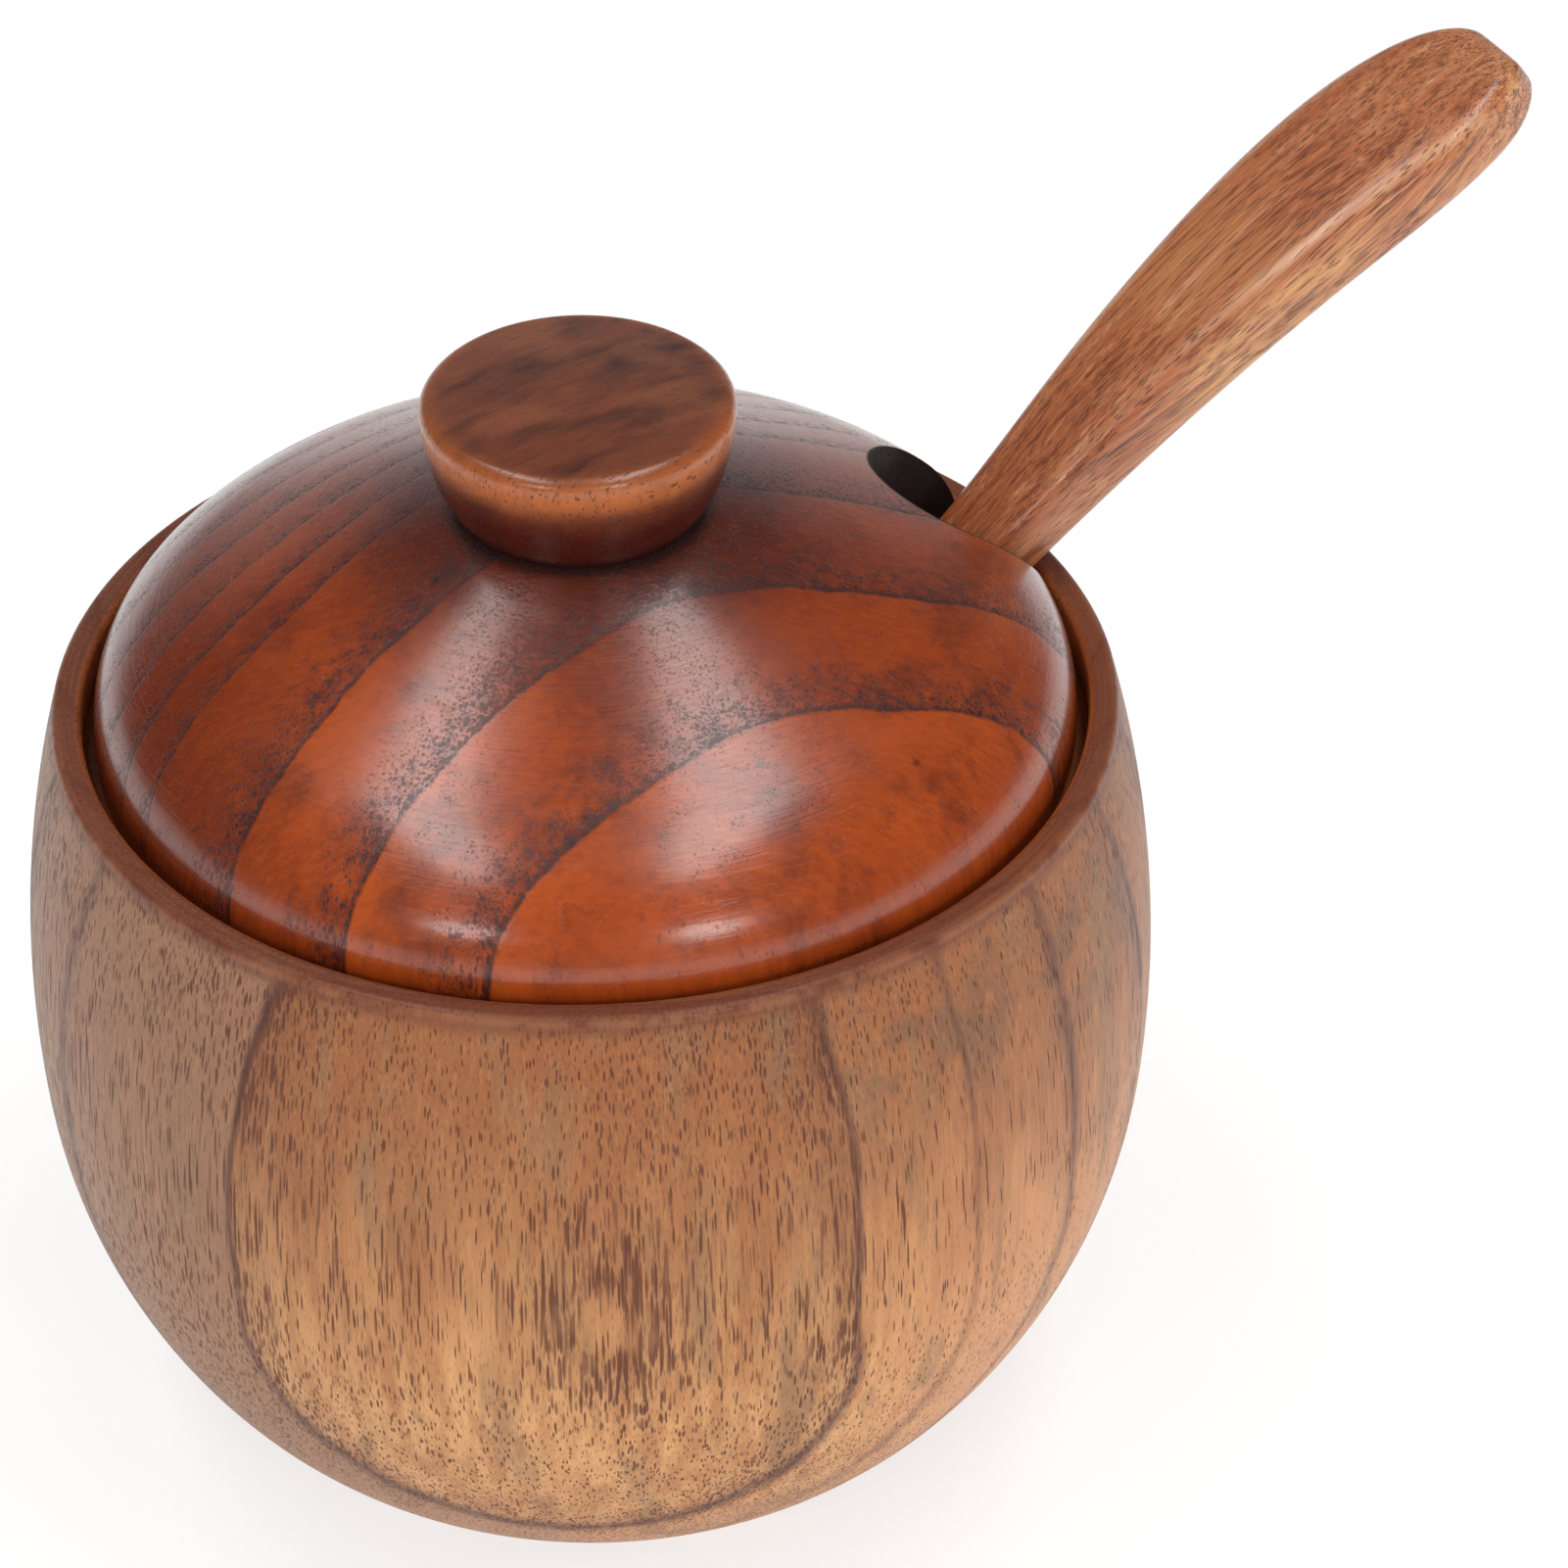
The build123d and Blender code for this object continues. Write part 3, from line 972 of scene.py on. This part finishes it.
@dataclass
class TurnedPiece(Piece):
    """A piece made on the lathe: an outline spun about the Z axis. Sizes are in millimetres."""

    steps: int = 288

    def outline(self) -> Outline:
        """The outline that is spun."""
        raise NotImplementedError

    def make(self) -> bpy.types.Object:
        """Draws the outline point by point and spins it.

        Returns:
            The turned object.
        """
        points = [(x * MM, 0.0, z * MM) for x, z in self.outline().points]
        deselect()
        bpy.ops.mesh.primitive_plane_add(size=MM, location=(0.0, 0.0, 0.0))
        piece = bpy.context.object
        bpy.ops.object.mode_set(mode="EDIT")
        bpy.ops.mesh.select_all(action="SELECT")
        bpy.ops.mesh.merge(type="CENTER")
        bpy.ops.transform.translate(value=points[0])
        for before, after in zip(points, points[1:]):
            move = tuple(b - a for a, b in zip(before, after))
            bpy.ops.mesh.extrude_vertices_move(TRANSFORM_OT_translate={"value": move})
        bpy.ops.mesh.select_all(action="SELECT")
        bpy.ops.mesh.spin(
            steps=self.steps, angle=math.tau, center=(0.0, 0.0, 0.0), axis=(0.0, 0.0, 1.0)
        )
        weld()
        return piece


@dataclass
class JarBody(TurnedPiece):
    """The turned bowl with its rim, the ledge for the lid and its flat foot."""

    name: str = "turned_jar"
    node: str = "jar_body"
    body: str = "jar"
    slot: str = "jar_wood"
    finish: JarWood = field(default_factory=JarWood)
    height: float = 71.0
    belly: float = 48.49
    belly_height: float = 44.3
    wall_curve: float = 102.6
    belly_curve: float = 50.6
    foot_curve: float = 37.9
    belly_turn: float = -5.4
    foot_turn: float = -35.5
    foot_height: float = 0.9
    foot_inset: float = 1.9
    foot_edge: tuple = ((-1.0, 0.14), (-0.35, 0.48))
    wall: float = 5.2
    wall_end: float = 55.0
    floor: float = 6.0
    mouth: float = 42.6
    ledge: float = 38.0
    ledge_depth: float = 4.5
    ledge_drop: float = 1.8
    ease: float = 0.4
    lip: float = 0.8
    lip_start: float = 0.75
    lip_end: float = 0.9

    def outline(self) -> Outline:
        """The bowl's outline.

        Returns:
            Outline up the outside, over the rim and down the inside.
        """
        wall = (self.belly - self.wall_curve, self.belly_height)
        belly = next_centre(wall, self.wall_curve, self.belly_curve, self.belly_turn)
        foot = next_centre(belly, self.belly_curve, self.foot_curve, self.foot_turn)
        base = angle_at(foot, self.foot_curve, self.foot_height)
        foot_x = foot[0] + self.foot_curve * math.cos(math.radians(base))
        top = angle_at(wall, self.wall_curve, self.height - self.lip_start)
        top_x = wall[0] + self.wall_curve * math.cos(math.radians(top))
        lip_z = self.height - self.lip
        ledge_z = self.height - self.ledge_depth
        inner = angle_at(wall, self.wall_curve - self.wall, self.wall_end)
        floor = angle_at(foot, self.foot_curve - self.wall, self.floor)
        line = Outline()
        line.line((0.0, 0.0))
        line.line((foot_x - self.foot_inset, 0.0), steps=6)
        line.line(*((foot_x + x, z) for x, z in self.foot_edge))
        line.arc(foot, self.foot_curve, base, self.foot_turn, 18)
        line.arc(belly, self.belly_curve, self.foot_turn, self.belly_turn, 26)
        line.arc(wall, self.wall_curve, self.belly_turn, top, 22)
        line.arc((top_x - self.lip, lip_z), self.lip, 8.0, 90.0, 6)
        line.line((self.mouth + self.lip_end, self.height), steps=2)
        line.arc((self.mouth + self.lip, lip_z), self.lip, 90.0, 180.0, 6)
        line.line((self.mouth, ledge_z + self.ease), steps=3)
        line.line((self.mouth - self.ease, ledge_z), (self.ledge + self.ease, ledge_z), steps=2)
        line.line((self.ledge, ledge_z - self.ease), (self.ledge, ledge_z - self.ledge_drop))
        line.arc(wall, self.wall_curve - self.wall, inner, self.belly_turn, 12)
        line.arc(belly, self.belly_curve - self.wall, self.belly_turn, self.foot_turn, 18)
        line.arc(foot, self.foot_curve - self.wall, self.foot_turn, floor, 16)
        line.line((0.0, self.floor), steps=6)
        return line


@dataclass
class Lid(TurnedPiece):
    """The domed lid with a hollow underside and the bored notch."""

    name: str = "turned_lid"
    node: str = "lid"
    body: str = "lid"
    slot: str = "lid_wood"
    finish: LidWood = field(default_factory=LidWood)
    radius: float = 41.6
    edge_height: float = 70.0
    edge_curve: float = 9.5
    edge_turn: float = 42.0
    shoulder_curve: float = 20.0
    shoulder_turn: float = 64.0
    crown_curve: float = 220.0
    seat: float = 10.4
    ledge: float = 66.5
    ease: float = 1.8
    hollow_radius: float = 36.5
    hollow_rise: float = 15.0
    notch_radius: float = 8.75
    notch_centre: float = 37.4
    bore_middle: float = 76.0
    bore_length: float = 40.0

    def outline(self) -> Outline:
        """The lid's outline.

        Returns:
            Outline over the underside, round the edge and up to the seat.
        """
        edge = (self.radius - self.edge_curve, self.edge_height)
        shoulder = next_centre(edge, self.edge_curve, self.shoulder_curve, self.edge_turn)
        crown = next_centre(shoulder, self.shoulder_curve, self.crown_curve, self.shoulder_turn)
        seat = math.degrees(math.acos((self.seat - crown[0]) / self.crown_curve))
        seat_z = crown[1] + self.crown_curve * math.sin(math.radians(seat))
        hollow = (self.hollow_radius**2 + self.hollow_rise**2) / (2.0 * self.hollow_rise)
        hollow_centre = (0.0, self.ledge + self.hollow_rise - hollow)
        hollow_end = math.degrees(math.acos(self.hollow_radius / hollow))
        line = Outline()
        line.arc(hollow_centre, hollow, 90.0, hollow_end, 24)
        line.line((self.radius - self.ease, self.ledge), steps=2)
        line.arc((self.radius - self.ease, self.ledge + self.ease), self.ease, -90.0, 0.0, 7)
        line.line((self.radius, self.edge_height), steps=2)
        line.arc(edge, self.edge_curve, 0.0, self.edge_turn, 16)
        line.arc(shoulder, self.shoulder_curve, self.edge_turn, self.shoulder_turn, 14)
        line.arc(crown, self.crown_curve, self.shoulder_turn, seat, 26)
        line.line((0.0, seat_z), steps=4)
        return line

    def make(self) -> bpy.types.Object:
        """Turns the lid and bores its notch.

        Returns:
            The bored lid.
        """
        piece = super().make()
        deselect()
        bpy.ops.mesh.primitive_cylinder_add(
            vertices=128,
            radius=self.notch_radius * MM,
            depth=self.bore_length * MM,
            location=(self.notch_centre * MM, 0.0, self.bore_middle * MM),
        )
        combine(piece, bpy.context.object, "DIFFERENCE")
        return piece


@dataclass
class Knob(TurnedPiece):
    """The knob: a flaring neck, a rounded edge and a low crown."""

    name: str = "turned_knob"
    node: str = "lid_knob"
    body: str = "lid"
    slot: str = "knob_wood"
    finish: KnobWood = field(default_factory=KnobWood)
    steps: int = 192
    seat: float = 90.475
    tenon: Point = (5.0, 6.0)
    foot: float = 10.2
    radius: float = 13.1
    widest: float = 8.9
    flare: Point = (0.68, 0.42)
    edge: float = 1.25
    crown: float = 0.5
    flare_steps: int = 24
    crown_steps: int = 16

    def outline(self) -> Outline:
        """The knob's outline.

        Returns:
            Outline from the tenon round the bell and over the crown.
        """
        wide_z = self.seat + self.widest
        middle_x = self.foot + self.flare[0] * (self.radius - self.foot)
        middle_z = self.seat + self.flare[1] * self.widest
        tenon, tenon_z = self.tenon[0], self.seat - self.tenon[1]
        line = Outline()
        line.line((0.0, tenon_z), (tenon, tenon_z), (tenon, self.seat), (self.foot, self.seat))
        for step in range(1, self.flare_steps + 1):
            share = step / self.flare_steps
            first = (1.0 - share) * (1.0 - 2.0 * share)
            second = 4.0 * share * (1.0 - share)
            third = share * (2.0 * share - 1.0)
            line.points.append(
                (
                    first * self.foot + second * middle_x + third * self.radius,
                    first * self.seat + second * middle_z + third * wide_z,
                )
            )
        flat = self.radius - self.edge
        line.arc((flat, wide_z), self.edge, 0.0, 90.0, 10)
        curve = (flat**2 + self.crown**2) / (2.0 * self.crown)
        top = wide_z + self.edge + self.crown
        for step in range(1, self.crown_steps + 1):
            x = flat * (1.0 - step / self.crown_steps)
            line.points.append((x, top - curve + math.sqrt(curve**2 - x**2)))
        return line


@dataclass(frozen=True)
class Section:
    """One section of the spoon's handle, in millimetres from the lid's edge along it."""

    along: float
    rise: float
    width: float
    thick: float

    def centre(self) -> Triple:
        """Its middle, in metres."""
        return (self.along * MM, 0.0, self.rise * MM)


@dataclass
class Spoon(Piece):
    """The carved spoon: a flat swelling handle bowed upward, a slim neck and an egg-shaped bowl."""

    name: str = "carved_spoon"
    node: str = "spoon"
    body: str = "spoon"
    slot: str = "spoon_wood"
    finish: SpoonWood = field(default_factory=SpoonWood)
    smooth: float = 35.0
    exit: Triple = (40.6, 0.0, 73.2)
    slope: float = SPOON_SLOPE
    corner: float = 1.15
    inset: float = 0.5
    bowl_at: float = -77.5
    bowl_rim: float = 1.4
    bowl_size: Triple = (17.0, 13.5, 9.5)
    hollow_size: Triple = (15.0, 11.5, 7.5)
    sections: tuple = (
        Section(-68.0, 0.4, 6.4, 4.4),
        Section(-56.0, 0.0, 6.4, 4.7),
        Section(-40.0, 0.0, 6.8, 5.0),
        Section(-22.0, 0.0, 7.4, 5.2),
        Section(-6.0, 0.3, 8.0, 5.4),
        Section(4.0, 1.3, 9.4, 6.0),
        Section(14.0, 2.4, 11.6, 6.7),
        Section(24.0, 2.95, 13.6, 7.2),
        Section(34.0, 2.95, 15.5, 7.4),
        Section(42.0, 2.3, 16.9, 7.2),
        Section(48.0, 1.55, 17.0, 7.0),
        Section(53.5, 0.6, 15.4, 6.9),
        Section(57.0, -0.05, 12.8, 6.3),
        Section(59.3, -0.4, 9.4, 5.0),
        Section(60.2, -0.6, 6.8, 3.2),
    )

    def handle(self) -> bpy.types.Object:
        """Draws the first section and extrudes it from section to section.

        Returns:
            The smoothed handle, lying along X.
        """
        first = self.sections[0]
        deselect()
        bpy.ops.mesh.primitive_plane_add(
            size=1.0, location=first.centre(), rotation=(0.0, math.pi / 2.0, 0.0)
        )
        piece = bpy.context.object
        bpy.ops.object.transform_apply(location=True, rotation=True, scale=True)
        bpy.ops.object.mode_set(mode="EDIT")
        bpy.ops.mesh.select_all(action="SELECT")
        bpy.ops.transform.resize(
            value=(1.0, first.width * MM, first.thick * MM), center_override=first.centre()
        )
        bpy.ops.mesh.bevel(offset=self.corner * MM, segments=3, affect="VERTICES")
        bpy.ops.mesh.select_all(action="SELECT")
        for before, after in zip(self.sections, self.sections[1:]):
            step = ((after.along - before.along) * MM, 0.0, (after.rise - before.rise) * MM)
            bpy.ops.mesh.extrude_region_move(TRANSFORM_OT_translate={"value": step})
            bpy.ops.transform.resize(
                value=(1.0, after.width / before.width, after.thick / before.thick),
                center_override=after.centre(),
            )
        bpy.ops.mesh.inset(thickness=self.inset * MM)
        bpy.ops.mesh.select_all(action="SELECT")
        bpy.ops.mesh.normals_make_consistent(inside=False)
        bpy.ops.object.mode_set(mode="OBJECT")
        smooth = piece.modifiers.new("smooth", "SUBSURF")
        smooth.levels = 3
        smooth.render_levels = 3
        bpy.ops.object.modifier_apply(modifier=smooth.name)
        return piece

    def egg(self, size: Triple, cut: bool) -> bpy.types.Object:
        """Makes an egg-shaped solid at the bowl's place.

        Args:
            size: Half-lengths along, across and deep, in millimetres.
            cut: True to cut it off level with the bowl's rim.

        Returns:
            The solid.
        """
        place = (self.bowl_at * MM, 0.0, self.bowl_rim * MM)
        deselect()
        bpy.ops.mesh.primitive_uv_sphere_add(segments=96, ring_count=48, radius=MM, location=place)
        egg = bpy.context.object
        bpy.ops.object.transform_apply(location=True, rotation=True, scale=True)
        bpy.ops.object.mode_set(mode="EDIT")
        bpy.ops.mesh.select_all(action="SELECT")
        bpy.ops.transform.resize(value=size, center_override=place)
        if cut:
            bpy.ops.mesh.bisect(
                plane_co=place, plane_no=(0.0, 0.0, 1.0), use_fill=True, clear_outer=True
            )
        bpy.ops.object.mode_set(mode="OBJECT")
        return egg

    def make(self) -> bpy.types.Object:
        """Carves the spoon and turns it into its place.

        Returns:
            The carved spoon.
        """
        piece = self.handle()
        combine(piece, self.egg(self.bowl_size, True), "UNION")
        combine(piece, self.egg(self.hollow_size, False), "DIFFERENCE")
        choose(piece)
        piece.rotation_euler = (0.0, -self.slope, 0.0)
        piece.location = tuple(part * MM for part in self.exit)
        bpy.ops.object.transform_apply(location=True, rotation=True, scale=True)
        bpy.ops.object.mode_set(mode="EDIT")
        weld()
        return piece


@dataclass(frozen=True)
class Softbox:
    """An elliptical lamp, in metres from the jar's top in the viewer's axes."""

    name: str
    at: Triple
    size: Span
    radiance: float
    level: bool = False
    gloss: bool = True


@dataclass
class Studio:
    """White floor, pale surroundings, two long top softboxes, three front lamps and the camera."""

    lens: float = 153.14
    sensor: float = 36.0
    clip: Span = (0.01, 100.0)
    eye: Triple = (0.0, -0.4591, 0.4002)
    ahead: Triple = (0.02932, 0.8034, -0.59471)
    upward: Triple = (0.02804, 0.59408, 0.80391)
    target: Triple = (0.0, 0.0, 0.08)
    matt_world: float = 0.42
    gloss_world: float = 0.04
    back_glow: float = 0.26
    back: Span = (0.66, 0.97)
    floor_size: float = 40.0
    floor_place: Triple = (0.0, 0.0, -0.0001)
    floor_lit: Span = (0.80, 0.24)
    floor_seen: Span = (0.36, 0.70)
    lamps: tuple = (
        Softbox("top_left", (-0.40, -0.04, 1.05), (0.26, 1.05), 5.8, level=True),
        Softbox("top_right", (0.34, -0.04, 1.05), (0.29, 1.05), 5.8, level=True),
        Softbox("front_left", (-0.69, -1.21, 0.75), (0.40, 0.34), 7.5),
        Softbox("front_right", (0.64, -1.30, 0.66), (0.40, 0.34), 8.5),
        Softbox("front_fill", (0.70, -2.30, 0.70), (1.30, 1.30), 3.2, gloss=False),
    )

    def turned(self, vector: Triple) -> Vector:
        """A vector of the viewer's axes in the part's own."""
        return Matrix.Rotation(-VIEW_TURN, 3, "Z") @ Vector(vector)

    def camera(self) -> None:
        """Places the camera."""
        data = bpy.data.cameras.new("camera")
        data.lens = self.lens
        data.sensor_width = self.sensor
        data.clip_start, data.clip_end = self.clip
        eye = bpy.data.objects.new("camera", data)
        back = -self.turned(self.ahead).normalized()
        up = self.turned(self.upward)
        side = up.cross(back).normalized()
        up = back.cross(side)
        turn = Matrix((side, up, back)).transposed().to_4x4()
        eye.matrix_world = Matrix.Translation(self.turned(self.eye)) @ turn
        bpy.context.scene.collection.objects.link(eye)
        bpy.context.scene.camera = eye

    def lamp(self, box: Softbox) -> None:
        """Hangs a softbox, facing down where it is level and toward the jar where it isn't.

        Args:
            box: The softbox; its radiance is 1 for a white face.
        """
        data = bpy.data.lights.new(box.name, "AREA")
        data.shape = "ELLIPSE"
        data.size, data.size_y = box.size
        data.energy = box.radiance * math.pi * (math.pi / 4.0) * box.size[0] * box.size[1]
        lamp = bpy.data.objects.new(box.name, data)
        place = self.turned(box.at)
        lamp.location = Vector(self.target) + place
        turn = place.to_track_quat("Z", "Y").to_matrix()
        if box.level:
            turn = Matrix.Rotation(-VIEW_TURN, 3, "Z")
        lamp.rotation_euler = turn.to_euler()
        lamp.visible_glossy = box.gloss
        bpy.context.scene.collection.objects.link(lamp)

    def surroundings(self) -> None:
        """Sets the world: white to the camera, even in matt light, dark in gloss but at the back."""
        world = bpy.data.worlds.new("surroundings")
        bpy.context.scene.world = world
        s = Shader(world)
        away = s.place((0.0, 0.0, VIEW_TURN), 1.0, "Generated")[1]
        back = away.step(*self.back) * self.back_glow + self.gloss_world
        ray = s.node("ShaderNodeLightPath").outputs
        kind = {"data_type": "FLOAT"}
        matt = s.node("ShaderNodeMix", kind, {0: ray["Is Glossy Ray"], 2: self.matt_world, 3: back})
        level = s.node("ShaderNodeMix", kind, {0: ray["Is Camera Ray"], 2: matt.outputs[0], 3: 1.0})
        glow = s.node("ShaderNodeBackground", {}, {"Color": WHITE, "Strength": level.outputs[0]})
        s.node("ShaderNodeOutputWorld", {}, {"Surface": glow.outputs[0]})

    def floor(self) -> None:
        """Lays the white floor, which keeps the jar's soft shadow."""
        deselect()
        bpy.ops.mesh.primitive_plane_add(size=self.floor_size, location=self.floor_place)
        floor = bpy.context.object
        floor.name = "floor"
        s = Shader(bpy.data.materials.new("floor_white"))
        faces = {0: s.node("ShaderNodeLightPath").outputs["Is Camera Ray"]}
        for number, (grey, strength) in enumerate((self.floor_lit, self.floor_seen), 1):
            matt = s.node("ShaderNodeBsdfDiffuse", {}, {"Color": (grey, grey, grey, 1.0)})
            glow = s.node("ShaderNodeEmission", {}, {"Color": WHITE, "Strength": strength})
            both = s.node("ShaderNodeAddShader", {}, {0: matt.outputs[0], 1: glow.outputs[0]})
            faces[number] = both.outputs[0]
        mix = s.node("ShaderNodeMixShader", {}, faces)
        s.node("ShaderNodeOutputMaterial", {}, {"Surface": mix.outputs[0]})
        floor.data.materials.append(s.owner)

    def build(self) -> None:
        """Builds the studio."""
        self.camera()
        self.surroundings()
        self.floor()
        for box in self.lamps:
            self.lamp(box)
        bpy.context.scene.view_settings.view_transform = "Standard"
        LOG.info("studio: ready")


def main() -> None:
    """Builds every piece and the studio."""
    logging.basicConfig(level=logging.INFO, format="%(name)s: %(message)s")
    for piece in (JarBody(), Lid(), Knob(), Spoon()):
        piece.build()
    Studio().build()


if __name__ == "__main__":
    main()
